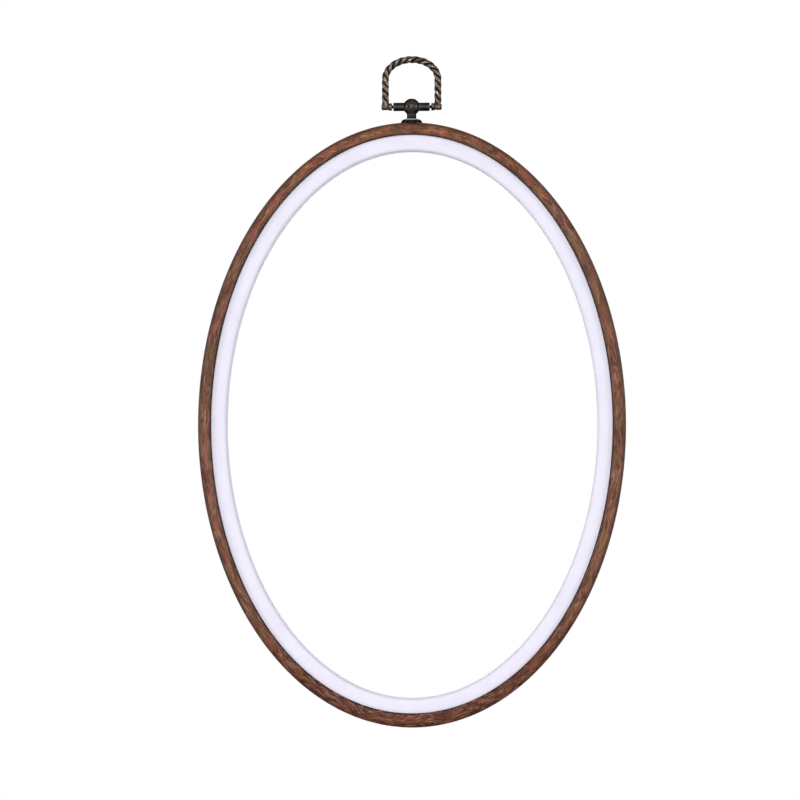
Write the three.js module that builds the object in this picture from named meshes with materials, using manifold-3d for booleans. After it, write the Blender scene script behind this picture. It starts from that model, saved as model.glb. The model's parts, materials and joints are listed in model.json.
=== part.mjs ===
// An oval embroidery hoop: a soft wood-look outer ring stretched over a stiff white inner ring,
// hung from a twisted metal bail that swings in the crossbar of a cast post.
// Millimetres, +Z up, -Y towards the front. The origin is where a hook carries the bail,
// under the middle of its arch, and the hoop hangs below.

import * as THREE from "three";
import { mergeVertices } from "three/addons/utils/BufferGeometryUtils.js";
import Module from "manifold-3d";

const wasm = await Module();
wasm.setup();

// The oval window that the outer ring frames, and the steps round each oval
const windowWidth = 189.9;
const windowHeight = 272.9;
const ringStations = 80;

// Outer ring section
const faceWidth = 5.85; // from the window's edge to the outer edge
const sideWidening = 0.45; // how much further in the stretched ring's face reaches at both sides
const footWidening = 0.9; // and at the bottom
const wideningPower = 6; // how quickly both fade round the oval
const ringDepth = 10.5; // front to back
const crestInset = 2.9; // from the window's edge to where the crowned face is highest
const outerShoulder = 1.6; // how far the face falls back at the outer edge
const innerShoulder = 0.75; // how far it falls back at the window's edge
const backRound = 0.9;
const lipThickness = 1.25; // front of the crest to the back of the lip
const lipReach = 1.2; // how far the lip covers the inner ring
const leadIn = 0.6; // chamfer that guides the inner ring in from the back

// Inner ring section, a channel that is open at the back
const fabricGap = 0.35; // room for the fabric between the two rings
const bandWidth = 7.5; // what shows of the inner ring inside the window
const backRecess = 0.6; // inner ring's back below the outer ring's
const innerWall = 1.8;
const boreRound = 1.8; // rounded edge that the fabric runs over
const collarRound = 0.4; // front edge of the wall beside the outer ring
const channelFillet = 0.8;
const wallRound = 0.5; // back edges of both walls
const longestFacet = 0.8; // along a rounded corner of either section

// Hanger post
const axisRise = 7.7; // the bail's axis above the top of the outer ring
const flangeRadius = 5.05;
const flangeRise = 2.1; // top of the flange above the outer ring
const flangeRim = 0.6; // straight rim under the flange's dome
const seatDepth = 0.4; // flat seat sunk into the outer ring
const seatMargin = 0.1; // seat beyond the flange's rim
const seatGap = 0.05; // between faces that bear on each other
const neckRadius = 2.25;
const ballRadius = 4;
const ballFlat = 1.4; // radius of the flat on top of the ball
const barRadius = 2; // crossbar
const barChamfer = 0.3;
const turnedSides = 24;
const boredSides = 16;

// Bail
const legSpacing = 24.8; // between the legs' centre lines
const legRise = 13.2; // the legs are straight up to here above the axis
const archRise = 22.4; // centre line of the arch's top above the axis
const strandCount = 3;
const strandRadius = 1.18;
const strandOffset = 0.5; // centre line of the leg to the centre of each strand
const twistPitch = 10.5; // one strand's full turn, laid left-handed
const twistStart = 0.6; // angle of the first strand at the left leg's foot
const ropeSteps = 60;
const pointsPerStrand = 4;
const barrelRadius = 1.5; // round foot of each leg, along the bail's axis
const barrelOverhang = 1.85; // its outer end past the leg's centre line
const barrelInset = 1.2; // its inner end short of it
const waistRadius = 1.25; // between barrel and collar
const waistWidth = 0.3;
const collarRadius = 1.75;
const collarWidth = 1.6;
const collarEdge = 0.2; // chamfer
const barGap = 0.65; // collar to the end of the crossbar
const pinRadius = 0.8;
const pinEngagement = 2.9; // pin inside the crossbar
const pinClearance = 0.1; // round the pin
const pinEndClearance = 0.5;

// Screw and washer that hold the post, from inside the outer ring
const screwRadius = 1;
const screwClearance = 0.15;
const screwEngagement = 4; // thread inside the post
const screwEndClearance = 0.6;
const headRadius = 2;
const headHeight = 1.5;
const headRound = 0.7;
const crossWidth = 0.5;
const crossLength = 2.2;
const crossDepth = 0.8;
const washerRadius = 2.4;
const washerThickness = 0.4;
const pocketClearance = 0.15; // round the washer
const headRecess = 0.35; // head below the wall that the inner ring slides past

// Levels along Z. The hoop's own levels are from the middle of the oval.
const ropeRadius = strandOffset + strandRadius;
const axisLevel = -(archRise - ropeRadius);
const ringTop = windowHeight / 2 + faceWidth;
const hoopLevel = axisLevel - axisRise - ringTop;
const seatLevel = ringTop - seatDepth;
const flangeBase = seatLevel + seatGap;
const innerWallTop = windowHeight / 2 + lipReach;
const headBottom = innerWallTop + headRecess;
const headTop = headBottom + headHeight;
const washerBottom = headTop + seatGap;
const pocketFloor = washerBottom + washerThickness + seatGap;

// Levels along Y
const frontFace = -ringDepth / 2;
const backFace = ringDepth / 2;
const lipBack = frontFace + lipThickness;
const innerFront = lipBack + fabricGap;
const innerBack = backFace - backRecess;

// Places along X of what turns on the bail's axis, from each leg inwards
const legPlace = legSpacing / 2;
const barrelOuter = legPlace + barrelOverhang;
const barrelInner = legPlace - barrelInset;
const collarOuter = barrelInner - waistWidth;
const collarInner = collarOuter - collarWidth;
const barHalfLength = collarInner - barGap;
const pinTip = barHalfLength - pinEngagement;

const woodLook = new THREE.MeshStandardMaterial({ color: 0x74503f, roughness: 0.5, metalness: 0 });
const whitePlastic = new THREE.MeshStandardMaterial({ color: 0xeeecf8, roughness: 0.35, metalness: 0 });
const darkBronze = new THREE.MeshStandardMaterial({ color: 0x3a3230, roughness: 0.38, metalness: 0.85 });
const agedBrass = new THREE.MeshStandardMaterial({ color: 0x7d6c5c, roughness: 0.4, metalness: 0.85 });
const platedSteel = new THREE.MeshStandardMaterial({ color: 0x8d8579, roughness: 0.35, metalness: 0.9 });

// A closed geometry as a solid that can be joined and cut
function solidOf(geometry) {
  const bare = geometry.index ? geometry.toNonIndexed() : geometry.clone();
  bare.deleteAttribute("normal");
  bare.deleteAttribute("uv");
  const merged = mergeVertices(bare, 1e-4);
  const corners = merged.index.array;
  const triVerts = [];
  for (let i = 0; i < corners.length; i += 3) {
    const [a, b, c] = [corners[i], corners[i + 1], corners[i + 2]];
    if (a !== b && b !== c && c !== a) triVerts.push(a, b, c);
  }
  const vertProperties = merged.attributes.position.array;
  const mesh = new wasm.Mesh({ numProp: 3, vertProperties, triVerts: new Uint32Array(triVerts) });
  return new wasm.Manifold(mesh);
}

// A solid as a geometry again
function geometryOf(solid) {
  const mesh = solid.getMesh();
  const geometry = new THREE.BufferGeometry();
  geometry.setAttribute("position", new THREE.BufferAttribute(new Float32Array(mesh.vertProperties), 3));
  geometry.setIndex(new THREE.BufferAttribute(new Uint32Array(mesh.triVerts), 1));
  geometry.computeVertexNormals();
  return geometry;
}

function meshOf(name, geometry, material) {
  const mesh = new THREE.Mesh(geometry, material);
  mesh.name = name;
  return mesh;
}

// Rows of points joined into a skin. Each row is a closed loop with the same number of points.
function skinOf(rows, closed) {
  const count = rows[0].length;
  const positions = rows.flat().flatMap((point) => [point.x, point.y, point.z]);
  const index = [];
  const spans = closed ? rows.length : rows.length - 1;
  for (let i = 0; i < spans; i++) {
    const next = (i + 1) % rows.length;
    for (let j = 0; j < count; j++) {
      const k = (j + 1) % count;
      const [a, b] = [i * count + j, i * count + k];
      const [c, d] = [next * count + j, next * count + k];
      index.push(a, b, d, a, d, c);
    }
  }
  if (!closed) {
    const last = (rows.length - 1) * count;
    for (let j = 1; j < count - 1; j++) {
      index.push(0, j + 1, j);
      index.push(last, last + j, last + j + 1);
    }
  }
  const geometry = new THREE.BufferGeometry();
  geometry.setAttribute("position", new THREE.Float32BufferAttribute(positions, 3));
  geometry.setIndex(index);
  return geometry;
}

// A section swept round the window's oval, where sectionAt gives it for an angle. The section's x
// is the distance outwards from the window's edge and its y is the depth.
function sweepRoundOval(sectionAt) {
  const halfWidth = windowWidth / 2;
  const halfHeight = windowHeight / 2;
  const rows = [];
  for (let i = 0; i < ringStations; i++) {
    const angle = (2 * Math.PI * i) / ringStations;
    const [across, up] = [Math.cos(angle), Math.sin(angle)];
    const outwards = new THREE.Vector2(across / halfWidth, up / halfHeight).normalize();
    rows.push(
      sectionAt(angle).map(
        (point) =>
          new THREE.Vector3(
            halfWidth * across + outwards.x * point.x,
            point.y,
            halfHeight * up + outwards.y * point.x,
          ),
      ),
    );
  }
  return skinOf(rows, true);
}

// A closed outline through its corners, each [x, y] or [x, y, radius] where it is rounded
function roundedOutline(corners) {
  const points = [];
  corners.forEach(([x, y, radius], i) => {
    const corner = new THREE.Vector2(x, y);
    if (!radius) {
      points.push(corner);
      return;
    }
    const before = corners[(i + corners.length - 1) % corners.length];
    const after = corners[(i + 1) % corners.length];
    const back = new THREE.Vector2(before[0] - x, before[1] - y).normalize();
    const ahead = new THREE.Vector2(after[0] - x, after[1] - y).normalize();
    const centre = corner.clone().addScaledVector(back, radius).addScaledVector(ahead, radius);
    const steps = Math.ceil((radius * Math.PI) / 2 / longestFacet);
    for (let k = 0; k <= steps; k++) {
      const angle = (k / steps) * (Math.PI / 2);
      const point = centre.clone();
      point.addScaledVector(ahead, -radius * Math.cos(angle));
      point.addScaledVector(back, -radius * Math.sin(angle));
      points.push(point);
    }
  });
  return points;
}

// How much further into the window the outer ring's face reaches at an angle round the oval
function faceWidening(angle) {
  const sides = sideWidening * Math.cos(angle) ** wideningPower;
  const foot = footWidening * Math.max(0, -Math.sin(angle)) ** wideningPower;
  return sides + foot;
}

// The crowned front, two quarter ellipses that meet at the crest
function crownCorners(widening) {
  const steps = 4;
  const corners = [];
  for (let i = -steps; i <= steps; i++) {
    const angle = (i / steps) * (Math.PI / 2);
    const reach = i < 0 ? crestInset + widening : faceWidth - crestInset;
    const shoulder = i < 0 ? innerShoulder : outerShoulder;
    corners.push([crestInset + reach * Math.sin(angle), frontFace + shoulder * (1 - Math.cos(angle))]);
  }
  return corners;
}

// Crowned face, lip over the inner ring, straight wall behind it and a flat back
function outerSection(angle) {
  const widening = faceWidening(angle);
  return roundedOutline([
    [lipReach + leadIn, backFace],
    [lipReach, backFace - leadIn],
    [lipReach, lipBack],
    [-widening, lipBack],
    ...crownCorners(widening),
    [faceWidth, backFace, backRound],
  ]);
}

// Two walls behind a front web, round a channel that is open at the back
function innerSection() {
  const collar = lipReach - fabricGap;
  const webBack = innerFront + innerWall;
  return roundedOutline([
    [collar, innerFront, collarRound],
    [collar, innerBack, wallRound],
    [collar - innerWall, innerBack, wallRound],
    [collar - innerWall, webBack, channelFillet],
    [-bandWidth + innerWall, webBack, channelFillet],
    [-bandWidth + innerWall, innerBack, wallRound],
    [-bandWidth, innerBack, wallRound],
    [-bandWidth, innerFront, boreRound],
  ]);
}

// An outline of [radius, height] pairs turned round the Z axis
function turned(outline, sides) {
  const points = outline.map(([radius, height]) => new THREE.Vector2(radius, height));
  return new THREE.LatheGeometry(points, sides).rotateX(Math.PI / 2);
}

function cylinderAlongZ(radius, bottom, top, sides) {
  const geometry = new THREE.CylinderGeometry(radius, radius, top - bottom, sides);
  return geometry.rotateX(Math.PI / 2).translate(0, 0, (bottom + top) / 2);
}

function outerRing() {
  const ring = solidOf(sweepRoundOval(outerSection));
  const seatRadius = flangeRadius + seatMargin;
  const seat = solidOf(cylinderAlongZ(seatRadius, seatLevel, ringTop + 1, turnedSides * 2));
  const holeRadius = screwRadius + screwClearance;
  const hole = solidOf(cylinderAlongZ(holeRadius, innerWallTop - 1, ringTop + 1, boredSides));
  const pocketRadius = washerRadius + pocketClearance;
  const pocket = solidOf(cylinderAlongZ(pocketRadius, innerWallTop - 1, pocketFloor, turnedSides));
  return meshOf("outer_ring", geometryOf(ring.subtract(seat).subtract(hole).subtract(pocket)), woodLook);
}

function innerRing() {
  return meshOf("inner_ring", sweepRoundOval(innerSection), whitePlastic);
}

// Flange, neck and ball in one outline, from the flange's base up to the ball's top
function postOutline(base) {
  const flangeTop = flangeRise - axisRise;
  const domeSteps = 5;
  const ballSteps = 8;
  const outline = [
    [0, base],
    [flangeRadius, base],
  ];
  const rimTop = base + flangeRim;
  for (let i = 0; i <= domeSteps; i++) {
    const angle = (i / domeSteps) * (Math.PI / 2);
    const radius = neckRadius + (flangeRadius - neckRadius) * Math.cos(angle);
    outline.push([radius, rimTop + (flangeTop - rimTop) * Math.sin(angle)]);
  }
  const from = -Math.acos(neckRadius / ballRadius);
  const to = Math.acos(ballFlat / ballRadius);
  for (let i = 0; i <= ballSteps; i++) {
    const angle = from + (i / ballSteps) * (to - from);
    outline.push([ballRadius * Math.cos(angle), ballRadius * Math.sin(angle)]);
  }
  outline.push([0, ballRadius * Math.sin(to)]);
  return outline;
}

// Cast post with its crossbar, in the hanger's own frame: the bail's axis is the X axis
function hangerPost() {
  const base = flangeBase - ringTop - axisRise;
  const body = solidOf(turned(postOutline(base), turnedSides));
  const barOutline = [
    [0, -barHalfLength],
    [barRadius - barChamfer, -barHalfLength],
    [barRadius, -barHalfLength + barChamfer],
    [barRadius, barHalfLength - barChamfer],
    [barRadius - barChamfer, barHalfLength],
    [0, barHalfLength],
  ];
  const bar = solidOf(turned(barOutline, turnedSides).rotateY(Math.PI / 2));
  const tapped = screwRadius + screwClearance;
  const tapTop = base + screwEngagement + screwEndClearance;
  let post = body.add(bar).subtract(solidOf(cylinderAlongZ(tapped, base - 1, tapTop, boredSides)));
  const boreRadius = pinRadius + pinClearance;
  for (const side of [-1, 1]) {
    const bore = cylinderAlongZ(boreRadius, pinTip - pinEndClearance, barHalfLength + 1, boredSides);
    post = post.subtract(solidOf(bore.rotateY((side * Math.PI) / 2)));
  }
  return meshOf("hanger_post", geometryOf(post), darkBronze);
}

// Centre line of the bail, from the foot of the left leg over the arch to the right one
function bailPath() {
  const path = new THREE.CurvePath();
  const at = (x, z) => new THREE.Vector3(x, 0, z);
  path.add(new THREE.LineCurve3(at(-legPlace, 0), at(-legPlace, legRise)));
  const archSteps = 48;
  const arch = [];
  for (let i = 0; i <= archSteps; i++) {
    const angle = Math.PI * (1 - i / archSteps);
    arch.push(at(legPlace * Math.cos(angle), legRise + (archRise - legRise) * Math.sin(angle)));
  }
  for (let i = 0; i < archSteps; i++) path.add(new THREE.LineCurve3(arch[i], arch[i + 1]));
  path.add(new THREE.LineCurve3(at(legPlace, legRise), at(legPlace, 0)));
  return path;
}

// Distance from the centre line to the surface of the nearest strand, which is a circle
function strandSurface(angle) {
  const share = (2 * Math.PI) / strandCount;
  const fromCrest = angle - share * Math.round(angle / share);
  const sideways = strandOffset * Math.sin(fromCrest);
  return strandOffset * Math.cos(fromCrest) + Math.sqrt(strandRadius ** 2 - sideways ** 2);
}

// Twisted strands along the bail's path
function bailRope() {
  const path = bailPath();
  const length = path.getLength();
  const pointCount = strandCount * pointsPerStrand;
  const rows = [];
  for (let i = 0; i <= ropeSteps; i++) {
    const centre = path.getPointAt(i / ropeSteps);
    const tangent = path.getTangentAt(i / ropeSteps);
    const sideways = new THREE.Vector3(-tangent.z, 0, tangent.x);
    const forwards = new THREE.Vector3(0, -1, 0);
    const turn = twistStart - (2 * Math.PI * length * i) / ropeSteps / twistPitch;
    const row = [];
    for (let j = 0; j < pointCount; j++) {
      const angle = (2 * Math.PI * j) / pointCount;
      const radius = strandSurface(angle);
      const point = centre.clone();
      point.addScaledVector(sideways, radius * Math.cos(angle + turn));
      point.addScaledVector(forwards, radius * Math.sin(angle + turn));
      row.push(point);
    }
    rows.push(row);
  }
  return skinOf(rows, false);
}

// Pin, collar, waist and barrel of one foot, turned round the bail's axis
function bailFoot(side) {
  const outline = [
    [0, pinTip],
    [pinRadius - collarEdge, pinTip],
    [pinRadius, pinTip + collarEdge],
    [pinRadius, collarInner],
    [collarRadius - collarEdge, collarInner],
    [collarRadius, collarInner + collarEdge],
    [collarRadius, collarOuter - collarEdge],
    [collarRadius - collarEdge, collarOuter],
    [waistRadius, (collarOuter + barrelInner) / 2],
    [barrelRadius, barrelInner],
  ];
  const endSteps = 3;
  const endRound = barrelRadius / 2;
  for (let i = 0; i <= endSteps; i++) {
    const angle = (i / endSteps) * (Math.PI / 2);
    const radius = barrelRadius - endRound * (1 - Math.cos(angle));
    outline.push([radius, barrelOuter - endRound * (1 - Math.sin(angle))]);
  }
  outline.push([0, barrelOuter]);
  return solidOf(turned(outline, boredSides).rotateY((side * Math.PI) / 2));
}

function bail() {
  const joined = solidOf(bailRope()).add(bailFoot(-1)).add(bailFoot(1));
  return meshOf("bail", geometryOf(joined), agedBrass);
}

// Pan-head screw with a cross recess, driven upwards from inside the ring
function hangerScrew() {
  const tip = flangeBase + screwEngagement;
  const outline = [[0, headBottom]];
  const roundSteps = 4;
  for (let i = 0; i <= roundSteps; i++) {
    const angle = (i / roundSteps) * (Math.PI / 2);
    const radius = headRadius - headRound * (1 - Math.sin(angle));
    outline.push([radius, headBottom + headRound * (1 - Math.cos(angle))]);
  }
  outline.push([headRadius, headTop]);
  outline.push([screwRadius, headTop]);
  outline.push([screwRadius, tip - screwRadius / 2]);
  outline.push([screwRadius / 2, tip]);
  outline.push([0, tip]);
  let screw = solidOf(turned(outline, boredSides));
  const slotHeight = 2 * crossDepth;
  for (const quarter of [0, 1]) {
    const slot = new THREE.BoxGeometry(crossLength, crossWidth, slotHeight);
    slot.rotateZ((quarter * Math.PI) / 2).translate(0, 0, headBottom);
    screw = screw.subtract(solidOf(slot));
  }
  return meshOf("hanger_screw", geometryOf(screw), platedSteel);
}

function screwWasher() {
  const [inside, outside] = [screwRadius + screwClearance, washerRadius];
  const [bottom, top] = [washerBottom, washerBottom + washerThickness];
  const outline = [
    [inside, bottom],
    [outside, bottom],
    [outside, top],
    [inside, top],
    [inside, bottom],
  ];
  return meshOf("screw_washer", turned(outline, turnedSides), platedSteel);
}

// The hoop's pieces are placed from the middle of its oval, the hanger's from the bail's axis
const hoop = new THREE.Group();
hoop.position.z = hoopLevel;
hoop.add(outerRing(), innerRing(), hangerScrew(), screwWasher());

const hanger = new THREE.Group();
hanger.position.z = axisLevel;
hanger.add(hangerPost(), bail());

const embroideryHoop = new THREE.Group();
embroideryHoop.add(hoop, hanger);

export default embroideryHoop;
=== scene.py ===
"""An oval embroidery hoop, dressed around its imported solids.

Metres, in the solids' own frame: the origin is under the middle of the bail's arch, +Z is up and
-Y points out of the crowned front. Shapes are worked out in millimetres and scaled as they are made.
"""

import json
import math

import bmesh
import bpy
import numpy as np
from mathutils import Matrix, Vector


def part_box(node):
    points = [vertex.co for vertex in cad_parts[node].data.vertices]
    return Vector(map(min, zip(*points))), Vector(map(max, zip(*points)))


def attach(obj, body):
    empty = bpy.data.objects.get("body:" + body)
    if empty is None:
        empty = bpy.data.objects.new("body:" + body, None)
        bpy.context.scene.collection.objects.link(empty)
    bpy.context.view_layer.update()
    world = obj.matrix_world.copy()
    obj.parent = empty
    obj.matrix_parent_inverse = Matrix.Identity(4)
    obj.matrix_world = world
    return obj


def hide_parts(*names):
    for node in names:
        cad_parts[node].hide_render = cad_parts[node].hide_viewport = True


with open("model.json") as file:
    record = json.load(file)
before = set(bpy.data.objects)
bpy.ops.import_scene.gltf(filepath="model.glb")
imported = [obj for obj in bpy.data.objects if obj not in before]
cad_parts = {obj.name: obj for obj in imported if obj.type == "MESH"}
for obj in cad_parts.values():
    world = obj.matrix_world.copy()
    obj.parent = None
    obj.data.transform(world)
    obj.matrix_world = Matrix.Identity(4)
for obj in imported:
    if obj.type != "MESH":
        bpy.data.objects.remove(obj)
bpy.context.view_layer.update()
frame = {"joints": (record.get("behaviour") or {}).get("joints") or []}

MM = 0.001

# Outer ring section, in millimetres
FACE_WIDTH = 5.85
SIDE_WIDENING = 0.45
FOOT_WIDENING = 0.9
WIDENING_POWER = 6
CREST_INSET = 2.9
OUTER_SHOULDER = 1.6
INNER_SHOULDER = 0.75
BACK_ROUND = 0.9
LIP_THICKNESS = 1.25
LIP_REACH = 1.2
LEAD_IN = 0.6
LIP_ROUND = 0.25
CROWN_STEPS = 12

# Inner ring section
BAND_WIDTH = 7.5
INNER_WALL = 1.8
BORE_ROUND = 1.8
COLLAR_ROUND = 0.4
CHANNEL_FILLET = 0.8
WALL_ROUND = 0.5

# Hanger post
FLANGE_RISE = 2.1
FLANGE_RIM = 0.6
NECK_RADIUS = 2.25
NECK_FILLET = 0.45
BALL_RADIUS = 4.0
BALL_FLAT = 1.4
BAR_RADIUS = 2.0
BAR_CHAMFER = 0.3
BAR_FILLET = 0.5
RIM_RUB = 0.5
FLANGE_CHAMFER = 0.08
BALL_CROWN_EDGE = 0.1
BALL_CROWN = 0.02
TAP_DEPTH = 4.6
SEAT_GAP = 0.1
SEAT_DROP = 0.05

# Painted highlight, painted shade, and lighter and darker tones on the post: shares, or pairs of
# a distance in millimetres and a share
SHOULDER_HIGHLIGHT = [(-0.05, 0), (0.02, 1), (0.6, 1), (0.95, 0)]
RIM_SHARE = 0.3
BAR_SHARE = 0.014
BALL_SHARE = 0.026
BAR_DARKENING = 0.1
NECK_DARKENING = 0.9
FOOT_SHADE = [(0.85, 0), (1.1, 1)]
WEAR_FADE = 0.3
BAR_MARGIN = 0.1

# Bail
LEG_RISE = 13.2
STRAND_COUNT = 3
STRAND_RADIUS = 1.18
STRAND_OFFSET = 0.5
TWIST_PITCH = 10.5
TWIST_START = 0.6
BARREL_RADIUS = 1.5
BARREL_OVERHANG = 1.85
BARREL_INSET = 1.2
BARREL_EDGE = 0.1
BARREL_EDGE_WIDTH = 0.12
WAIST_RADIUS = 1.25
WAIST_WIDTH = 0.3
COLLAR_RADIUS = 1.75
COLLAR_WIDTH = 1.6
COLLAR_EDGE = 0.2
PIN_RADIUS = 0.8
PIN_ENGAGEMENT = 2.9
PIN_CLEARANCE = 0.1
PIN_END_CLEARANCE = 0.5

# Screw and washer
SCREW_RADIUS = 1.0
SCREW_CLEARANCE = 0.15
HEAD_RADIUS = 2.0
HEAD_HEIGHT = 1.5
HEAD_ROUND = 0.7
HEAD_CHAMFER = 0.06
CROSS_WIDTH = 0.5
CROSS_LENGTH = 2.2
CROSS_DEPTH = 0.8
WASHER_EDGE = 0.08
POCKET_CLEARANCE = 0.15

# Where painted shade along the wood's edges sets in and is full, in millimetres from that edge
INNER_SHADOW_LINE = (0.7, 0.3)
INNER_SHADE = (2.8, 0.3)
OUTER_SHADE = (2.6, 0.4)

# Which of its noises tints the bail
TINT_SEED = 1.0

# How finely the pieces are made
RING_STATIONS = 480
ROPE_ROWS = 420
POINTS_PER_STRAND = 12
TURNED_SIDES = 96
SMALL_SIDES = 64
DOME_STEPS = 20
BALL_STEPS = 40
FILLET_STEPS = 6
BAR_FILLET_STEPS = 8
END_STEPS = 12
HEAD_STEPS = 10
LEG_SAMPLES = 200
ARCH_SAMPLES = 800
LINE_SAMPLES = 600
NEAREST_ROUNDS = 6
FINE_FACET = 0.18
SHARP_ANGLE = math.radians(32)

# How far pieces reach into what they join, and cutters past what they cut
OVERLAP = 0.02
CUT_REACH = 1.0


def box_mm(node):
    """The lowest and the highest corner of a node's box, in millimetres."""
    low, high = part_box(node)
    return low / MM, high / MM


outer_low, outer_high = box_mm("outer_ring")
inner_low, inner_high = box_mm("inner_ring")
post_low, post_high = box_mm("hanger_post")
_, bail_high = box_mm("bail")
screw_low, screw_high = box_mm("hanger_screw")
washer_low, washer_high = box_mm("screw_washer")

# The oval window that the outer ring frames
hoop_level = (inner_low.z + inner_high.z) / 2
half_width = outer_high.x - FACE_WIDTH
half_height = hoop_level - outer_low.z - FACE_WIDTH
ring_top = hoop_level + half_height + FACE_WIDTH
front_face = outer_low.y
back_face = outer_high.y

# The bail's axis, and places along X of what turns on it
axis_level = frame["joints"][0]["pos_m"][2] / MM
bar_half_length = post_high.x
barrel_outer = bail_high.x
leg_place = barrel_outer - BARREL_OVERHANG
barrel_inner = leg_place - BARREL_INSET
collar_outer = barrel_inner - WAIST_WIDTH
collar_inner = collar_outer - COLLAR_WIDTH
pin_tip = bar_half_length - PIN_ENGAGEMENT
rope_radius = STRAND_OFFSET + STRAND_RADIUS
groove_radius = STRAND_OFFSET / 2 + math.sqrt(STRAND_RADIUS**2 - 0.75 * STRAND_OFFSET**2)
arch_rise = bail_high.z - rope_radius - axis_level


# Mesh helpers


def mesh_object(name, points, faces):
    """A mesh object from points in millimetres and faces."""
    mesh = bpy.data.meshes.new(name)
    mesh.from_pydata([tuple(p) for p in np.asarray(points) * MM], [], faces)
    mesh.validate()
    piece = bpy.data.objects.new(name, mesh)
    bpy.context.scene.collection.objects.link(piece)
    return piece


def shade(piece):
    """Smooth but for the sharp edges."""
    piece.data.shade_smooth()
    piece.data.set_sharp_from_angle(angle=SHARP_ANGLE)
    return piece


def skin(name, rows, closed):
    """Rows of points joined into a skin. Each row is a closed loop of as many points."""
    rows = np.asarray(rows)
    row_count, count = rows.shape[:2]
    spans = row_count if closed else row_count - 1
    faces = []
    for i in range(spans):
        here, there = i * count, (i + 1) % row_count * count
        for j in range(count):
            k = (j + 1) % count
            faces.append((here + j, here + k, there + k, there + j))
    if not closed:
        last = (row_count - 1) * count
        faces.append(tuple(reversed(range(count))))
        faces.append(tuple(range(last, last + count)))
    return mesh_object(name, rows.reshape(-1, 3), faces)


def turned(name, outline, sides, along="z", flip=1, level=0.0):
    """An outline of (radius, height) pairs turned round Z, or round X where flip says to which
    side. It starts and ends on the axis, or closes on itself."""
    points, rings = [], []
    for radius, height in outline:
        count = sides if radius > 0 else 1
        rings.append(range(len(points), len(points) + count))
        for j in range(count):
            angle = 2 * math.pi * j / sides
            across, aside = radius * math.cos(angle), radius * math.sin(angle)
            if along == "z":
                points.append((across, aside, height + level))
            else:
                points.append((flip * height, flip * across, aside + level))
    faces = []
    on_axis = outline[0][0] == 0
    pairs = list(zip(rings, rings[1:]))
    if not on_axis:
        pairs.append((rings[-1], rings[0]))
    for lower, upper in pairs:
        for j in range(sides):
            k = (j + 1) % sides
            below = [lower[j % len(lower)], lower[k % len(lower)]]
            corners = below + [upper[k % len(upper)], upper[j % len(upper)]]
            faces.append(tuple(dict.fromkeys(corners)))
    return mesh_object(name, points, faces)


def boolean(piece, cutter, operation):
    """Joins or cuts piece with cutter, which is used up."""
    modifier = piece.modifiers.new(operation, "BOOLEAN")
    modifier.operation = operation
    modifier.solver = "EXACT"
    modifier.object = cutter
    depsgraph = bpy.context.evaluated_depsgraph_get()
    made = bpy.data.meshes.new_from_object(piece.evaluated_get(depsgraph))
    piece.modifiers.remove(modifier)
    piece.data = made
    bpy.data.objects.remove(cutter)
    return piece


def points_of(piece):
    """A piece's vertices in millimetres."""
    flat = np.empty(len(piece.data.vertices) * 3)
    piece.data.vertices.foreach_get("co", flat)
    return flat.reshape(-1, 3) / MM


def write_attribute(piece, name, values):
    """Stores a number or a vector at each vertex, for the materials to read."""
    kind = "FLOAT_VECTOR" if values.ndim == 2 else "FLOAT"
    field = "vector" if values.ndim == 2 else "value"
    attribute = piece.data.attributes.new(name, kind, "POINT")
    attribute.data.foreach_set(field, values.astype(np.float32).ravel())


def rounded_outline(corners):
    """A closed outline through its corners, each (x, y) or (x, y, radius) where it is rounded."""
    outline = []
    for i, (x, y, *rest) in enumerate(corners):
        corner = Vector((x, y))
        if not rest:
            outline.append(tuple(corner))
            continue
        radius = rest[0]
        back = (Vector(corners[i - 1][:2]) - corner).normalized()
        ahead = (Vector(corners[(i + 1) % len(corners)][:2]) - corner).normalized()
        half = back.angle(ahead) / 2
        centre = corner + (back + ahead).normalized() * (radius / math.sin(half))
        sweep = math.pi - 2 * half
        steps = max(3, math.ceil(radius * sweep / FINE_FACET))
        spoke = corner + back * (radius / math.tan(half)) - centre
        turn = math.copysign(sweep, back.x * ahead.y - back.y * ahead.x)
        for k in range(steps + 1):
            angle = -turn * k / steps
            cos, sin = math.cos(angle), math.sin(angle)
            turned_x = spoke.x * cos - spoke.y * sin
            turned_y = spoke.x * sin + spoke.y * cos
            outline.append((centre.x + turned_x, centre.y + turned_y))
    return outline


# The two rings


def sweep_round_oval(name, section_at):
    """A section swept round the window's oval, where section_at gives it for an angle. Its x runs
    outwards from the window's edge and its y is the depth."""
    angles = 2 * np.pi * np.arange(RING_STATIONS) / RING_STATIONS
    out_x, out_z = np.cos(angles) / half_width, np.sin(angles) / half_height
    length = np.hypot(out_x, out_z)
    out_x, out_z = out_x / length, out_z / length
    sections = np.array([section_at(angle) for angle in angles])
    outward, depth = sections[:, :, 0], sections[:, :, 1]
    rows = np.empty((*outward.shape, 3))
    rows[:, :, 0] = (half_width * np.cos(angles))[:, None] + out_x[:, None] * outward
    rows[:, :, 1] = depth
    rows[:, :, 2] = hoop_level + (half_height * np.sin(angles))[:, None] + out_z[:, None] * outward
    return skin(name, rows, closed=True)


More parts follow.
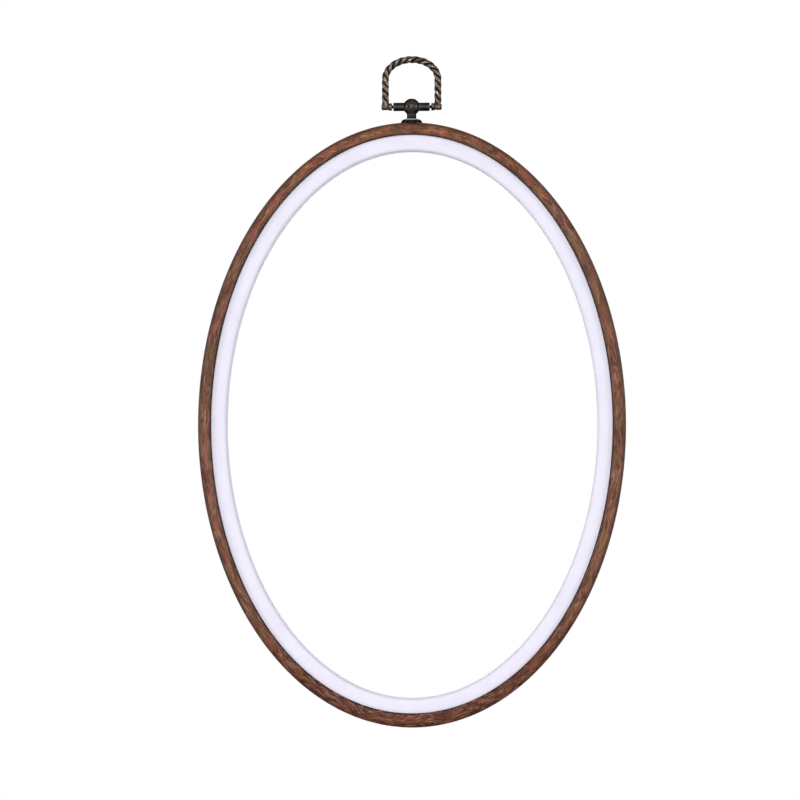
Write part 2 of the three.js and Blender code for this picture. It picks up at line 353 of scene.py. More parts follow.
def write_ring_place(piece, widened=False):
    """Stores where each point is round the oval, as a cosine and a sine, and how many millimetres
    it is outside the window's edge, so that grain can run along the ring. Where the face is
    widened, its inner edge still counts as 0."""
    points = points_of(piece)
    x, z = points[:, 0], points[:, 2] - hoop_level
    angle = np.arctan2(z / half_height, x / half_width)
    squares = half_width**2 - half_height**2
    for _ in range(NEAREST_ROUNDS):
        cos, sin = np.cos(angle), np.sin(angle)
        slope = squares * cos * sin - x * half_width * sin + z * half_height * cos
        bend = squares * (cos**2 - sin**2) - x * half_width * cos - z * half_height * sin
        angle = angle - slope / bend
    cos, sin = np.cos(angle), np.sin(angle)
    length = np.hypot(cos / half_width, sin / half_height)
    outside = (x - half_width * cos) * cos / half_width + (z - half_height * sin) * sin / half_height
    outside /= length
    if widened:
        narrowing = CREST_INSET / (CREST_INSET + face_widening(angle))
        squeezed = CREST_INSET - (CREST_INSET - outside) * narrowing
        outside = np.where(outside < CREST_INSET, squeezed, outside)
    write_attribute(piece, "ring_place", np.stack([cos, sin, outside], axis=1))


def face_widening(angle):
    """How much further into the window the outer ring's face reaches at an angle round the oval."""
    sides = SIDE_WIDENING * np.cos(angle) ** WIDENING_POWER
    return sides + FOOT_WIDENING * np.maximum(0, -np.sin(angle)) ** WIDENING_POWER


def crown_corners(widening):
    """The crowned front, two quarter ellipses that meet at the crest."""
    corners = []
    for i in range(-CROWN_STEPS, CROWN_STEPS + 1):
        angle = i / CROWN_STEPS * math.pi / 2
        reach = CREST_INSET + widening if i < 0 else FACE_WIDTH - CREST_INSET
        shoulder = INNER_SHOULDER if i < 0 else OUTER_SHOULDER
        place = CREST_INSET + reach * math.sin(angle)
        corners.append((place, front_face + shoulder * (1 - math.cos(angle))))
    return corners


def outer_section(angle):
    """The outer ring's section at an angle round the oval: lip, crowned front and flat back."""
    lip_back = front_face + LIP_THICKNESS
    widening = face_widening(angle)
    return rounded_outline(
        [
            (LIP_REACH + LEAD_IN, back_face, LIP_ROUND),
            (LIP_REACH, back_face - LEAD_IN, LIP_ROUND),
            (LIP_REACH, lip_back, LIP_ROUND / 2),
            (-widening, lip_back, LIP_ROUND / 2),
            *crown_corners(widening),
            (FACE_WIDTH, back_face, BACK_ROUND),
        ]
    )


def make_outer_ring():
    """The wood-look ring, cut for the post's flange, the screw and the screw's pocket."""
    ring = sweep_round_oval("outer_ring_skin", outer_section)
    wall_top = hoop_level + half_height + LIP_REACH
    cuts = [
        (post_high.y + SEAT_GAP, post_low.z - SEAT_DROP, ring_top + CUT_REACH),
        (SCREW_RADIUS + SCREW_CLEARANCE, wall_top - CUT_REACH, ring_top + CUT_REACH),
        (washer_high.x + POCKET_CLEARANCE, wall_top - CUT_REACH, washer_high.z + SEAT_DROP),
    ]
    for radius, bottom, top in cuts:
        outline = [(0, bottom), (radius, bottom), (radius, top), (0, top)]
        boolean(ring, turned("cutter", outline, SMALL_SIDES), "DIFFERENCE")
    write_ring_place(ring, widened=True)
    return shade(ring)


def make_inner_ring():
    """The white ring: a channel that is open at the back, rounded where the window begins."""
    collar = inner_high.x - half_width
    front, back = inner_low.y, inner_high.y
    web_back = front + INNER_WALL
    section = rounded_outline(
        [
            (collar, front, COLLAR_ROUND),
            (collar, back, WALL_ROUND),
            (collar - INNER_WALL, back, WALL_ROUND),
            (collar - INNER_WALL, web_back, CHANNEL_FILLET),
            (-BAND_WIDTH + INNER_WALL, web_back, CHANNEL_FILLET),
            (-BAND_WIDTH + INNER_WALL, back, WALL_ROUND),
            (-BAND_WIDTH, back, WALL_ROUND),
            (-BAND_WIDTH, front, BORE_ROUND),
        ]
    )
    ring = sweep_round_oval("inner_ring_skin", lambda angle: section)
    write_ring_place(ring)
    return shade(ring)


# The hanger


def arc(centre, radius, start, end, steps):
    """Points on an arc of (radius, height) pairs, angles in radians."""
    angles = [start + (end - start) * k / steps for k in range(steps + 1)]
    return [(centre[0] + radius * math.cos(a), centre[1] + radius * math.sin(a)) for a in angles]


def post_outline(base, flange_top):
    """The flange's dome, the neck and the ball, from the bottom up."""
    flange_radius = post_high.y
    rim_top = base + FLANGE_RIM
    reach = NECK_RADIUS + NECK_FILLET
    chamfered = flange_radius - FLANGE_CHAMFER
    outline = [(0, base), (chamfered, base), (flange_radius, base + FLANGE_CHAMFER)]
    for k in range(DOME_STEPS + 1):
        angle = k / DOME_STEPS * math.pi / 2
        radius = reach + (flange_radius - reach) * math.cos(angle)
        outline.append((radius, rim_top + (flange_top - rim_top) * math.sin(angle)))
    foot_centre = (reach, flange_top + NECK_FILLET)
    outline += arc(foot_centre, NECK_FILLET, 1.5 * math.pi, math.pi, FILLET_STEPS)[1:]
    # A second fillet, between the neck and the ball, touches both
    drop = -math.sqrt((BALL_RADIUS + NECK_FILLET) ** 2 - reach**2)
    lean = math.atan2(drop, reach)
    outline += arc((reach, drop), NECK_FILLET, math.pi, math.pi + lean, FILLET_STEPS)
    top = math.acos(BALL_FLAT / BALL_RADIUS)
    crown = BALL_RADIUS * math.sin(top) + BALL_CROWN
    outline += arc((0, 0), BALL_RADIUS, lean, top, BALL_STEPS)[1:]
    outline += [(BALL_FLAT - BALL_CROWN_EDGE, crown), (0, crown)]
    return outline


def crossbar_outline():
    """Half of the crossbar from the ball's middle outwards, with a fillet where it leaves the ball."""
    rise = BAR_RADIUS + BAR_FILLET
    root = math.sqrt((BALL_RADIUS + BAR_FILLET) ** 2 - rise**2)
    meet = math.atan2(rise, root)
    outline = [(0, 0), (BALL_RADIUS * math.sin(meet), BALL_RADIUS * math.cos(meet) - OVERLAP)]
    fillet = arc((root, rise), BAR_FILLET, math.pi + meet, 1.5 * math.pi, BAR_FILLET_STEPS)
    outline += [(radius, along) for along, radius in fillet]
    outline += [
        (BAR_RADIUS, bar_half_length - RIM_RUB),
        (BAR_RADIUS, bar_half_length - BAR_CHAMFER),
        (BAR_RADIUS - BAR_CHAMFER / 3, bar_half_length - BAR_CHAMFER / 3),
        (BAR_RADIUS - BAR_CHAMFER, bar_half_length),
        (0, bar_half_length),
    ]
    return outline


def make_hanger_post():
    """Flange, neck, ball and crossbar, bored for the bail's pins and tapped for the screw."""
    base = post_low.z - axis_level
    flange_top = ring_top + FLANGE_RISE - axis_level
    post = turned("hanger_post_skin", post_outline(base, flange_top), TURNED_SIDES, level=axis_level)
    bore = PIN_RADIUS + PIN_CLEARANCE
    start, end = pin_tip - PIN_END_CLEARANCE, bar_half_length + CUT_REACH
    hole = [(0, start), (bore, start), (bore, end), (0, end)]
    for side in (-1, 1):
        boolean(post, turned("bar", crossbar_outline(), SMALL_SIDES, "x", side, axis_level), "UNION")
        boolean(post, turned("bore", hole, SMALL_SIDES, "x", side, axis_level), "DIFFERENCE")
    tapped = SCREW_RADIUS + SCREW_CLEARANCE
    low, high = base - CUT_REACH, base + TAP_DEPTH
    tap = [(0, low), (tapped, low), (tapped, high), (0, high)]
    boolean(post, turned("tap", tap, SMALL_SIDES, level=axis_level), "DIFFERENCE")
    write_wear(post, flange_top)
    return shade(post)


def fade(distance, pairs):
    """The share that pairs of a distance and a share give for each distance."""
    places, shares = zip(*pairs)
    return np.interp(distance, places, shares)


def write_wear(post, flange_top):
    """One attribute is 1 where a highlight is painted on the flange's shoulder, less on the rims of
    the crossbar and very little on the ball and the bar, which it makes lighter. The other is 1 at the
    foot of the flange, where it paints shade, nearly that on the neck and little on the crossbar,
    which it makes darker."""
    points = points_of(post)
    x, y, z = points[:, 0], points[:, 1], points[:, 2] - axis_level
    below_top = flange_top - z
    # Painted highlight on the flange's shoulder; lighter on the crossbar's rims, the ball and the bar
    shoulder = fade(below_top, SHOULDER_HIGHLIGHT)
    on_bar = np.hypot(y, z) < BAR_RADIUS + BAR_MARGIN
    rim = fade(bar_half_length - np.abs(x), [(0, RIM_SHARE), (RIM_RUB, BAR_SHARE)]) * on_bar
    from_middle = np.linalg.norm([x, y, z], axis=0)
    ball = fade(from_middle, [(BALL_RADIUS, BALL_SHARE), (BALL_RADIUS + WEAR_FADE, 0)])
    write_attribute(post, "highlight_and_light_tone", np.maximum.reduce([shoulder, rim, ball]))
    # Painted shade at the foot of the flange; darker on the neck and a little on the crossbar
    bar = fade(np.abs(x), [(BALL_RADIUS, 0), (BALL_RADIUS + WEAR_FADE, BAR_DARKENING)]) * on_bar
    neck = fade(-z, [(BALL_RADIUS - WEAR_FADE, 0), (BALL_RADIUS, NECK_DARKENING)]) * (below_top < 0)
    foot = fade(below_top, FOOT_SHADE)
    write_attribute(post, "shade_and_dark_tone", np.maximum.reduce([bar, neck, foot]))


def bail_line(samples):
    """Centre line of the bail, from the foot of the left leg over the arch to the right one:
    points and tangents along X and Z at even steps of length, from the bail's axis."""
    legs = np.linspace(0, LEG_RISE, LEG_SAMPLES)
    angles = np.linspace(math.pi, 0, ARCH_SAMPLES)[1:-1]
    leg_x = np.full(LEG_SAMPLES, leg_place)
    x = np.concatenate([-leg_x, leg_place * np.cos(angles), leg_x])
    arch = LEG_RISE + (arch_rise - LEG_RISE) * np.sin(angles)
    z = np.concatenate([legs, arch, legs[::-1]])
    length = np.concatenate([[0], np.cumsum(np.hypot(np.diff(x), np.diff(z)))])
    at = np.linspace(0, length[-1], samples)
    line = np.stack([np.interp(at, length, x), np.interp(at, length, z)], axis=1)
    tangent = np.gradient(line, axis=0)
    tangent /= np.linalg.norm(tangent, axis=1)[:, None]
    return line, tangent, at


def strand_surface(angle):
    """Distance from the centre line to the surface of the nearest strand, which is a circle."""
    share = 2 * np.pi / STRAND_COUNT
    from_crest = angle - share * np.round(angle / share)
    sideways = STRAND_OFFSET * np.sin(from_crest)
    return STRAND_OFFSET * np.cos(from_crest) + np.sqrt(STRAND_RADIUS**2 - sideways**2)


def make_rope():
    """Strands twisted round the bail's centre line, as one skin."""
    line, tangent, at = bail_line(ROPE_ROWS)
    around = STRAND_COUNT * POINTS_PER_STRAND
    angle = 2 * np.pi * np.arange(around) / around
    radius = strand_surface(angle)
    turn = TWIST_START - 2 * np.pi * at[:, None] / TWIST_PITCH
    sideways = radius * np.cos(angle + turn)
    forwards = radius * np.sin(angle + turn)
    rows = np.empty((ROPE_ROWS, len(angle), 3))
    rows[:, :, 0] = line[:, :1] - tangent[:, 1:] * sideways
    rows[:, :, 1] = -forwards
    rows[:, :, 2] = axis_level + line[:, 1:] + tangent[:, :1] * sideways
    return skin("bail_skin", rows, closed=False)


def foot_outline():
    """The pin, the collar and the barrel at the foot of a leg, from the pin's tip outwards."""
    end_round = BARREL_RADIUS / 2
    outline = [
        (0, pin_tip),
        (PIN_RADIUS - COLLAR_EDGE, pin_tip),
        (PIN_RADIUS, pin_tip + COLLAR_EDGE),
        (PIN_RADIUS, collar_inner),
        (COLLAR_RADIUS - COLLAR_EDGE, collar_inner),
        (COLLAR_RADIUS, collar_inner + COLLAR_EDGE),
        (COLLAR_RADIUS, collar_outer - COLLAR_EDGE),
        (COLLAR_RADIUS - COLLAR_EDGE, collar_outer),
        (WAIST_RADIUS, (collar_outer + barrel_inner) / 2),
        (BARREL_RADIUS - BARREL_EDGE, barrel_inner),
        (BARREL_RADIUS, barrel_inner + BARREL_EDGE_WIDTH),
    ]
    for k in range(END_STEPS + 1):
        angle = k / END_STEPS * math.pi / 2
        radius = BARREL_RADIUS - end_round * (1 - math.cos(angle))
        outline.append((radius, barrel_outer - end_round * (1 - math.sin(angle))))
    outline.append((0, barrel_outer))
    return outline


def make_bail():
    """Twisted loop with its feet. The attribute hollow is 0 on crests and 1 deep between them, and
    the attribute tarnish is 1 on the feet. The attribute strand_place says where a point is, so
    that streaks can run along the strands: a cosine and a sine of its turn round the centre line,
    counted from the turning strands, and its millimetres along that line."""
    bail = make_rope()
    for side in (-1, 1):
        boolean(bail, turned("foot", foot_outline(), SMALL_SIDES, "x", side, axis_level), "UNION")
    points = points_of(bail)
    line, tangent, at = bail_line(LINE_SAMPLES)
    gap = points[:, None, [0, 2]] - (line + [0, axis_level])[None]
    nearest = np.argmin(np.hypot(gap[:, :, 0], gap[:, :, 1]), axis=1)
    offset, ahead, along = gap[np.arange(len(points)), nearest], tangent[nearest], at[nearest]
    sideways = offset[:, 1] * ahead[:, 0] - offset[:, 0] * ahead[:, 1]
    turn = np.arctan2(-points[:, 1], sideways) - TWIST_START + 2 * np.pi * along / TWIST_PITCH
    write_attribute(bail, "strand_place", np.stack([np.cos(turn), np.sin(turn), along], axis=1))
    from_line = np.hypot(np.hypot(offset[:, 0], offset[:, 1]), points[:, 1])
    rope = (rope_radius - from_line) / (rope_radius - groove_radius)
    from_axis = np.hypot(points[:, 1], points[:, 2] - axis_level)
    foot = (BARREL_RADIUS - from_axis) / (BARREL_RADIUS - WAIST_RADIUS)
    on_foot = from_axis < COLLAR_RADIUS + OVERLAP / 2
    hollow = np.where(on_foot & (points[:, 2] < axis_level + BARREL_RADIUS), foot, rope)
    write_attribute(bail, "hollow", np.clip(hollow, 0, 1))
    write_attribute(bail, "tarnish", on_foot.astype(float))
    return shade(bail)


def make_screw():
    """A pan-head screw, head down, with a cross recess and a plain shank."""
    low, high = screw_low.z, screw_high.z
    top = low + HEAD_HEIGHT
    outline = [(0, low)]
    for k in range(HEAD_STEPS + 1):
        angle = k / HEAD_STEPS * math.pi / 2
        radius = HEAD_RADIUS - HEAD_ROUND * (1 - math.sin(angle))
        outline.append((radius, low + HEAD_ROUND * (1 - math.cos(angle))))
    outline += [
        (HEAD_RADIUS, top - HEAD_CHAMFER),
        (HEAD_RADIUS - HEAD_CHAMFER, top),
        (SCREW_RADIUS, top),
        (SCREW_RADIUS, high - SCREW_RADIUS / 2),
        (SCREW_RADIUS / 2, high),
        (0, high),
    ]
    screw = turned("hanger_screw_skin", outline, SMALL_SIDES)
    for long_way in (0, 1):
        half_x = (CROSS_LENGTH if long_way else CROSS_WIDTH) / 2
        half_y = (CROSS_WIDTH if long_way else CROSS_LENGTH) / 2
        corners = [(-half_x, -half_y), (half_x, -half_y), (half_x, half_y), (-half_x, half_y)]
        points = [(x, y, low + z) for z in (-CUT_REACH, CROSS_DEPTH) for x, y in corners]
        sides = [(0, 1, 5, 4), (1, 2, 6, 5), (2, 3, 7, 6), (3, 0, 4, 7), (3, 2, 1, 0), (4, 5, 6, 7)]
        boolean(screw, mesh_object("slot", points, sides), "DIFFERENCE")
    return shade(screw)


def make_washer():
    """A flat washer with eased edges."""
    inside, outside = SCREW_RADIUS + SCREW_CLEARANCE, washer_high.x
    low, high = washer_low.z, washer_high.z
    edge = WASHER_EDGE
    outline = [
        (inside, low + edge),
        (inside + edge, low),
        (outside - edge, low),
        (outside, low + edge),
        (outside, high - edge),
        (outside - edge, high),
        (inside + edge, high),
        (inside, high - edge),
    ]
    return shade(turned("screw_washer_skin", outline, SMALL_SIDES))


# Materials


def srgb(red, green, blue):
    """A colour given as it looks on a screen, 0 to 255, as linear light."""
    shares = [value / 255 for value in (red, green, blue)]
    linear = [s / 12.92 if s <= 0.04045 else ((s + 0.055) / 1.055) ** 2.4 for s in shares]
    return (*linear, 1.0)


class Graph:
    """A node tree, with short calls for the nodes that are used here."""

    def __init__(self, tree):
        self.tree = tree

    def node(self, kind, inputs=(), **settings):
        made = self.tree.nodes.new(kind)
        for name, value in settings.items():
            setattr(made, name, value)
        for name, value in dict(inputs).items():
            self.feed(made.inputs[name], value)
        return made

    def feed(self, socket, value):
        if isinstance(value, bpy.types.NodeSocket):
            self.tree.links.new(value, socket)
        else:
            socket.default_value = value

    def part(self, vector, axis):
        return self.node("ShaderNodeSeparateXYZ", {"Vector": vector}).outputs[axis]

    def maths(self, operation, first, second, clamp=False):
        made = self.node("ShaderNodeMath", operation=operation, use_clamp=clamp)
        self.feed(made.inputs[0], first)
        self.feed(made.inputs[1], second)
        return made.outputs[0]

    def between(self, value, low, high):
        """0 below low, 1 above high and a smooth step from one to the other."""
        made = self.node(
            "ShaderNodeMapRange",
            {"Value": value, "From Min": low, "From Max": high},
            interpolation_type="SMOOTHSTEP",
        )
        return made.outputs["Result"]

    def scaled(self, value, low, high):
        """Takes a value from 0 to 1 to a value from low to high."""
        made = self.node("ShaderNodeMapRange", {"Value": value, "To Min": low, "To Max": high})
        return made.outputs["Result"]

    def mix(self, share, first, second, blend="MIX"):
        made = self.node("ShaderNodeMix", data_type="RGBA", blend_type=blend)
        self.feed(made.inputs["Factor"], share)
        self.feed(made.inputs[6], first)
        self.feed(made.inputs[7], second)
        return made.outputs[2]

    def tinted(self, colour, value, low, high, share, tint):
        """A colour with up to a share of a tint, which sets in as value goes from low to high."""
        return self.mix(self.scaled(self.between(value, low, high), 0, share), colour, tint)


class Shader(Graph):
    """A material's node tree, with the textures and places that the materials here use."""

    def __init__(self, name):
        self.material = bpy.data.materials.new(name)
        self.material.use_nodes = True
        super().__init__(self.material.node_tree)
        self.surface = self.tree.nodes["Principled BSDF"]

    def attribute(self, name, output):
        return self.node("ShaderNodeAttribute", attribute_name=name).outputs[output]

    def noise(self, vector, scale, detail=2.0, roughness=0.5, depth=None):
        inputs = {"Vector": vector, "Scale": scale, "Detail": detail, "Roughness": roughness}
        if depth is not None:
            inputs["W"] = depth
        dimensions = "3D" if depth is None else "4D"
        return self.node("ShaderNodeTexNoise", inputs, noise_dimensions=dimensions).outputs["Fac"]

    def ring_noise(self, place, around, across, detail=2.0, roughness=0.5):
        """Noise that runs along the ring from a ring place: around is its scale round the oval and
        across its scale per millimetre over the section, so it has no seam."""
        depth = self.maths("MULTIPLY", self.depth_mm(), across)
        return self.noise(self.stretched(place, around, around, across), 1.0, detail, roughness, depth)

    def stretched(self, place, *factors):
        made = self.node("ShaderNodeVectorMath", operation="MULTIPLY")
        self.feed(made.inputs[0], place)
        made.inputs[1].default_value = factors
        return made.outputs[0]

    def wandering(self, place, drift, reach):
        """A ring place whose third part wanders by a noise, up to about reach millimetres."""
        shift = self.scaled(drift, -reach, reach)
        offset = self.node("ShaderNodeCombineXYZ", {"Z": shift})
        moved = self.node("ShaderNodeVectorMath", operation="ADD")
        self.feed(moved.inputs[0], place)
        self.feed(moved.inputs[1], offset.outputs[0])
        return moved.outputs[0]

    def ring_sine(self):
        """-1 at the bottom of the oval and 1 at its top."""
        return self.part(self.attribute("ring_place", "Vector"), "Y")

    def object_place(self):
        return self.node("ShaderNodeTexCoord").outputs["Object"]

    def depth_mm(self):
        return self.maths("MULTIPLY", self.part(self.object_place(), "Y"), 1 / MM)

    def outside_mm(self):
        """Millimetres outside the window's edge."""
        return self.part(self.attribute("ring_place", "Vector"), "Z")

    def bump(self, height, distance):
        made = self.node("ShaderNodeBump", {"Height": height, "Distance": distance, "Strength": 1.0})
        self.feed(self.surface.inputs["Normal"], made.outputs["Normal"])

    def set(self, **values):
        for name, value in values.items():
            self.feed(self.surface.inputs[name.replace("_", " ")], value)


def wood_look():
    """Printed wood on soft rubber: burr-like streaks that wander along the ring, over patches of
    redder and more olive brown, with a painted shadow line along the inner edge and painted shade
    along both edges. It is darker towards the bottom and lighter and redder towards the top, partly
    the print's own tone and partly painted shade and light."""
    shader = Shader("wood_look")
    place = shader.attribute("ring_place", "Vector")
    drift = shader.ring_noise(place, 9, 0.1)
    swirl = shader.wandering(place, drift, 4.5)
    patches = shader.ring_noise(place, 11, 0.25, 3.0)
    hue = shader.ring_noise(swirl, 20, 0.5, 3.0)
    figure = shader.ring_noise(swirl, 20, 0.8, 4.0, 0.6)
    streaks = shader.ring_noise(swirl, 22, 2.8, 4.0, 0.65)
    lights = shader.ring_noise(swirl, 26, 2.0, 3.0, 0.6)
    pores = shader.ring_noise(swirl, 80, 4.5)

    brown = shader.mix(shader.between(patches, 0.38, 0.62), srgb(97, 58, 46), srgb(137, 89, 71))
    brown = shader.tinted(brown, hue, 0.52, 0.62, 0.5, srgb(146, 80, 64))
    brown = shader.tinted(brown, hue, 0.49, 0.4, 0.5, srgb(110, 92, 52))
    brown = shader.tinted(brown, figure, 0.5, 0.38, 0.7, srgb(55, 32, 28))
    brown = shader.tinted(brown, lights, 0.54, 0.64, 0.65, srgb(180, 134, 106))
    brown = shader.tinted(brown, streaks, 0.53, 0.62, 0.8, srgb(52, 28, 30))
    brown = shader.tinted(brown, pores, 0.6, 0.7, 0.5, srgb(36, 24, 21))

    outside = shader.outside_mm()
    # Painted shade along both edges of the face, and a painted shadow line where it meets the white
    # ring
    shade_start, shade_end = (FACE_WIDTH - inset for inset in OUTER_SHADE)
    brown = shader.tinted(brown, outside, *INNER_SHADE, 0.4, srgb(53, 40, 37))
    brown = shader.tinted(brown, outside, *INNER_SHADOW_LINE, 0.92, srgb(14, 9, 9))
    brown = shader.tinted(brown, outside, shade_start, shade_end, 0.65, srgb(53, 40, 37))
    # Darker towards the bottom, partly the print's own tone and partly painted shade, with painted
    # glints on its pale streaks
    bottom = shader.between(shader.ring_sine(), -0.45, -0.95)
    brown = shader.mix(bottom, brown, (0.58, 0.37, 0.24, 1), "MULTIPLY")
    glints = shader.maths("MULTIPLY", shader.between(lights, 0.5, 0.62), bottom)
    brown = shader.mix(shader.scaled(glints, 0, 0.6), brown, srgb(146, 104, 88))
    # Lighter and redder towards the top, partly the print's own tone and partly painted light
    top = shader.between(shader.ring_sine(), 0.6, 0.95)
    brown = shader.mix(top, brown, (1.08, 0.94, 0.84, 1), "MULTIPLY")
    shader.set(Base_Color=brown, Roughness=shader.scaled(streaks, 0.38, 0.6))
    shader.set(Specular_IOR_Level=0.18, Specular_Tint=(1.0, 0.9, 0.8, 1))
    shader.bump(streaks, 0.00006)
    return shader.material


def white_plastic():
    """Moulded plastic, white with a breath of lavender."""
    shader = Shader("white_plastic")
    place = shader.attribute("ring_place", "Vector")
    cloud = shader.ring_noise(place, 10, 0.12)
    fine = shader.noise(shader.object_place(), 900.0)
    colour = shader.mix(shader.between(cloud, 0.3, 0.7), srgb(231, 227, 242), srgb(235, 232, 247))
    shader.set(Base_Color=colour, Roughness=shader.scaled(fine, 0.6, 0.7), Specular_IOR_Level=0.2)
    shader.bump(fine, 0.00002)
    return shader.material


def aged_brass():
    """Cast metal with a dark finish that handling has rubbed off the crests of the strands. Its
    grooves are near black and not metallic, partly that finish and partly painted shade, and pale
    streaks along the strands are painted highlights.
    """
    shader = Shader("aged_brass")
    hollow = shader.attribute("hollow", "Fac")
    place = shader.object_place()
    wear = shader.noise(place, 420.0, 4.0, 0.6)
    tint = shader.noise(place, 110.0, 1.0, depth=TINT_SEED)
    strands = shader.attribute("strand_place", "Vector")
    # Pale streaks along the strands are painted highlights; dark streaks are darker marks
    glint_and_dark_streaks = shader.noise(shader.stretched(strands, 7.0, 7.0, 0.7), 1.0)
    worn = shader.mix(shader.between(tint, 0.44, 0.58), srgb(104, 88, 78), srgb(88, 85, 66))
    worn = shader.tinted(worn, wear, 0.42, 0.58, 0.75, srgb(52, 44, 38))
    worn = shader.tinted(worn, glint_and_dark_streaks, 0.58, 0.66, 0.85, srgb(200, 188, 174))
    worn = shader.tinted(worn, glint_and_dark_streaks, 0.47, 0.37, 0.8, srgb(42, 35, 31))
    # Near black, non-metallic grooves: partly the dark finish in the hollows, partly painted shade
    depth = shader.maths("ADD", hollow, shader.scaled(wear, -0.2, 0.2))
    groove = shader.between(depth, 0.35, 0.59)
    colour = shader.mix(groove, worn, srgb(9, 7, 6))
    tarnish = shader.scaled(shader.attribute("tarnish", "Fac"), 0, 0.45)
    colour = shader.mix(tarnish, colour, srgb(18, 28, 22))
    shader.set(Base_Color=colour, Metallic=shader.scaled(groove, 0.85, 0.0))
    shader.set(Roughness=shader.scaled(wear, 0.28, 0.46))
    shader.set(Specular_IOR_Level=0.2, Specular_Tint=srgb(58, 52, 46))
    shader.bump(wear, 0.00006)
    return shader.material


def dark_bronze():
    """Dark plated casting with a painted highlight on the flange's shoulder, lighter on the crossbar's
    rims, the ball and the bar, darker on its neck and the bar, and with painted shade where the
    flange meets the ring."""
    shader = Shader("dark_bronze")
    place = shader.object_place()
    wear = shader.noise(place, 300.0, 5.0, 0.6)
    speck = shader.noise(place, 1400.0)
    highlight_and_light_tone = shader.attribute("highlight_and_light_tone", "Fac")
    colour = shader.mix(shader.between(wear, 0.35, 0.7), srgb(23, 21, 20), srgb(42, 38, 35))
    colour = shader.tinted(colour, speck, 0.6, 0.75, 0.3, srgb(80, 72, 66))
    # Painted shade at the foot of the flange, and a darker tone on the neck and the crossbar
    shade_and_dark_tone = shader.scaled(shader.attribute("shade_and_dark_tone", "Fac"), 0, 0.8)
    colour = shader.mix(shade_and_dark_tone, colour, srgb(10, 12, 9))
    # Painted highlight on the flange's shoulder, and a lighter tone on the crossbar's rims, the ball
    # and the bar
    edge = shader.maths("MULTIPLY", highlight_and_light_tone, shader.scaled(wear, 0.6, 1.4), clamp=True)
    colour = shader.mix(edge, colour, srgb(232, 226, 216))
    shader.set(Base_Color=colour, Metallic=shader.scaled(edge, 0.9, 0.45))
    shader.set(Roughness=shader.scaled(wear, 0.07, 0.14), Specular_Tint=srgb(120, 116, 110))
    shader.bump(wear, 0.00002)
    return shader.material


def plated_steel():
    """Dull plated steel with fine turning marks."""
    shader = Shader("plated_steel")
    place = shader.object_place()
    wear = shader.noise(place, 500.0, 3.0)
    colour = shader.mix(shader.between(wear, 0.3, 0.7), srgb(150, 143, 130), srgb(178, 172, 160))
    shader.set(Base_Color=colour, Metallic=1.0, Roughness=shader.scaled(wear, 0.3, 0.45))
    shader.bump(wear, 0.00002)
    return shader.material


def dress(piece, material, node, body):
    """Gives a piece its material, and says which node it replaces and which body it moves with."""
    piece.data.materials.clear()
    piece.data.materials.append(material)
    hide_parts(node)
    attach(piece, body)


# Stage, light and camera

FLOOR_LEVEL = -0.42
FLOOR_RADIUS = 0.5
FLOOR_FADE = (0.55, 0.98)
LIGHT_BELOW = 0.2
LIGHT_ABOVE = 0.28
CAMERA_DISTANCE = 1.45
CAMERA_TURN = math.radians(2.88)
IMAGE_SIZE = 800
HOOP_CENTRE_X_PX = 411.1
HOOP_CENTRE_Y_PX = 424.8
MM_PER_PX = 0.4698
SENSOR = 36.0


def make_floor():
    """A pale round floor that fades out towards its edge and lets a view from below through."""
    mesh = bpy.data.meshes.new("floor")
    shape = bmesh.new()
    bmesh.ops.create_circle(shape, cap_ends=True, segments=TURNED_SIDES, radius=FLOOR_RADIUS)
    shape.to_mesh(mesh)
    shape.free()
    floor = bpy.data.objects.new("floor", mesh)
    bpy.context.scene.collection.objects.link(floor)
    floor.location.z = FLOOR_LEVEL
    shader = Shader("floor")
    shader.set(Base_Color=srgb(235, 235, 237), Roughness=0.8)
    length = shader.node("ShaderNodeVectorMath", {0: shader.object_place()}, operation="LENGTH")
    fade_start, fade_end = (FLOOR_RADIUS * share for share in FLOOR_FADE)
    faded = shader.between(length.outputs["Value"], fade_start, fade_end)
    under = shader.node("ShaderNodeNewGeometry").outputs["Backfacing"]
    gone = shader.maths("MAXIMUM", faded, under)
    clear = shader.node("ShaderNodeBsdfTransparent")
    solid = shader.surface.outputs[0]
    both = shader.node("ShaderNodeMixShader", {0: gone, 1: solid, 2: clear.outputs[0]})
    output = shader.tree.nodes["Material Output"]
    shader.tree.links.new(both.outputs[0], output.inputs["Surface"])
    mesh.materials.append(shader.material)


def make_world():
    """White where the camera, gloss and glass see it, and a soft light that is brighter above."""
    world = bpy.data.worlds.new("studio")
    bpy.context.scene.world = world
    world.use_nodes = True
    world.node_tree.nodes.clear()
    graph = Graph(world.node_tree)
    path = graph.node("ShaderNodeLightPath").outputs
    seen = graph.maths("MAXIMUM", path["Is Camera Ray"], path["Is Glossy Ray"])
    seen = graph.maths("MAXIMUM", seen, path["Is Transmission Ray"])
    direction = graph.node("ShaderNodeTexCoord").outputs["Generated"]
    levels = {"From Min": -1.0, "To Min": LIGHT_BELOW, "To Max": LIGHT_ABOVE}
    rise = graph.node("ShaderNodeMapRange", {"Value": graph.part(direction, "Z"), **levels})
    white = graph.node("ShaderNodeBackground", {"Color": (1, 1, 1, 1)})
    soft = graph.node("ShaderNodeBackground", {"Color": (1, 1, 1, 1)})
    graph.feed(soft.inputs["Strength"], rise.outputs["Result"])
    both = graph.node("ShaderNodeMixShader", {0: seen, 1: soft.outputs[0], 2: white.outputs[0]})
    graph.node("ShaderNodeOutputWorld", {"Surface": both.outputs[0]})


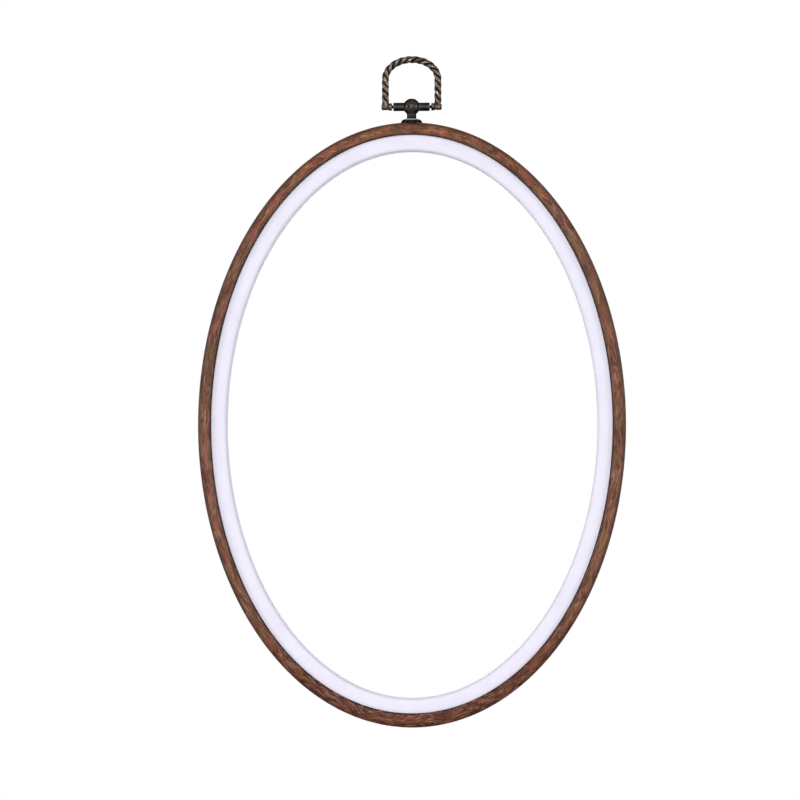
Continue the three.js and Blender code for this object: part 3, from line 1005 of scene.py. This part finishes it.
def make_lamp(name, place, aim, width, height, power):
    """A rectangular lamp that faces the aim."""
    lamp = bpy.data.lights.new(name, "AREA")
    lamp.shape = "RECTANGLE"
    lamp.size = width
    lamp.size_y = height
    lamp.energy = power
    holder = bpy.data.objects.new(name, lamp)
    bpy.context.scene.collection.objects.link(holder)
    holder.location = place
    holder.rotation_euler = (aim - Vector(place)).to_track_quat("-Z", "Y").to_euler()


def make_lights():
    """A soft key above the camera, a box on each side for the metal's highlights, and a fill
    behind so that the back is lit as well. Each has its place, width and height in metres and
    its power in watts."""
    aim = Vector((0, 0, hoop_level * MM))
    make_lamp("lamp_key", (0.0, -1.5, 0.1), aim, 1.5, 1.5, 18.0)
    make_lamp("lamp_left", (-1.25, -0.56, 0.06), aim, 0.28, 0.55, 4.4)
    make_lamp("lamp_right", (1.25, -0.56, 0.06), aim, 0.28, 0.55, 4.4)
    make_lamp("lamp_back", (0.0, 1.5, -0.05), aim, 0.9, 0.9, 8.0)


def make_camera():
    """Level with the hoop's middle, a little to its right, framed so that the hoop's middle lands
    where it is in the photograph."""
    camera = bpy.data.cameras.new("camera")
    holder = bpy.data.objects.new("camera", camera)
    bpy.context.scene.collection.objects.link(holder)
    middle = Vector((0, front_face * MM, hoop_level * MM))
    back = Vector((math.sin(CAMERA_TURN), -math.cos(CAMERA_TURN), 0))
    holder.location = middle + back * CAMERA_DISTANCE
    offset_x = (IMAGE_SIZE / 2 - HOOP_CENTRE_X_PX) * MM_PER_PX * MM
    offset_z = (HOOP_CENTRE_Y_PX - IMAGE_SIZE / 2) * MM_PER_PX * MM
    target = middle + Vector((offset_x, 0, offset_z))
    holder.rotation_euler = (target - holder.location).to_track_quat("-Z", "Y").to_euler()
    camera.sensor_width = SENSOR
    camera.lens = SENSOR * CAMERA_DISTANCE / (IMAGE_SIZE * MM_PER_PX * MM)
    camera.clip_start = 0.05
    camera.clip_end = 20
    bpy.context.scene.camera = holder


make_camera()
dress(make_outer_ring(), wood_look(), "outer_ring", "frame")
dress(make_inner_ring(), white_plastic(), "inner_ring", "inner_ring")
dress(make_hanger_post(), dark_bronze(), "hanger_post", "frame")
dress(make_bail(), aged_brass(), "bail", "bail")
steel = plated_steel()
dress(make_screw(), steel, "hanger_screw", "frame")
dress(make_washer(), steel, "screw_washer", "frame")
make_floor()
make_world()
make_lights()
bpy.context.scene.view_settings.view_transform = "Standard"
